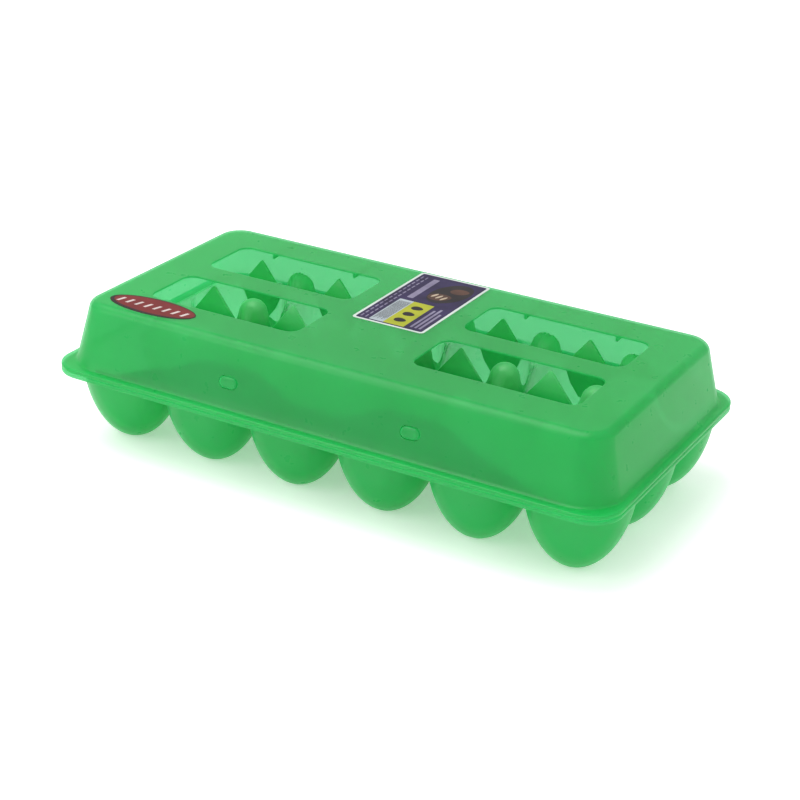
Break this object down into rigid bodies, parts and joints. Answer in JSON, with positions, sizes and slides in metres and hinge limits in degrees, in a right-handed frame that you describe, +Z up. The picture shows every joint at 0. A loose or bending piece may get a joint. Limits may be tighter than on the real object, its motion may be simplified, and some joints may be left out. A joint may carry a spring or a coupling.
{
  "type": "egg carton",
  "caption": "Hinged translucent plastic egg carton: tray of rounded cups, windowed lid on a living hinge, and a front locking flap with snap buttons.",
  "frame": {"origin": "on the resting surface, under the middle of the closed carton", "axes": "+X along the length, +Y to the hinge side at the rear, +Z up; the locking flap is at -Y"},
  "size_m": [0.298, 0.158, 0.0736],
  "materials": {
    "translucent_green_plastic": "satin translucent polypropylene",
    "printed_label": "gloss printed film",
    "red_sticker": "gloss printed film"
  },
  "bodies": {
    "tray": {"tray": "translucent_green_plastic", "lid_hinge": "translucent_green_plastic", "flap_hinge": "translucent_green_plastic"},
    "lid": {"lid": "translucent_green_plastic", "top_label": "printed_label", "oval_sticker": "red_sticker"},
    "locking_flap": {"locking_flap": "translucent_green_plastic"}
  },
  "joints": [
    {"name": "lid_open", "type": "hinge", "parent": "tray", "child": "lid", "pos_m": [0, 0.0788, 0.0402], "axis": [-1, 0, 0], "range_deg": [0, 180], "deforming": ["lid_hinge"]},
    {"name": "flap_fold", "type": "hinge", "parent": "tray", "child": "locking_flap", "pos_m": [0, -0.07275, 0.0408], "axis": [-1, 0, 0], "range_deg": [0, 15], "stiffness_Nm_per_rad": 0.02, "deforming": ["flap_hinge"]}
  ]
}
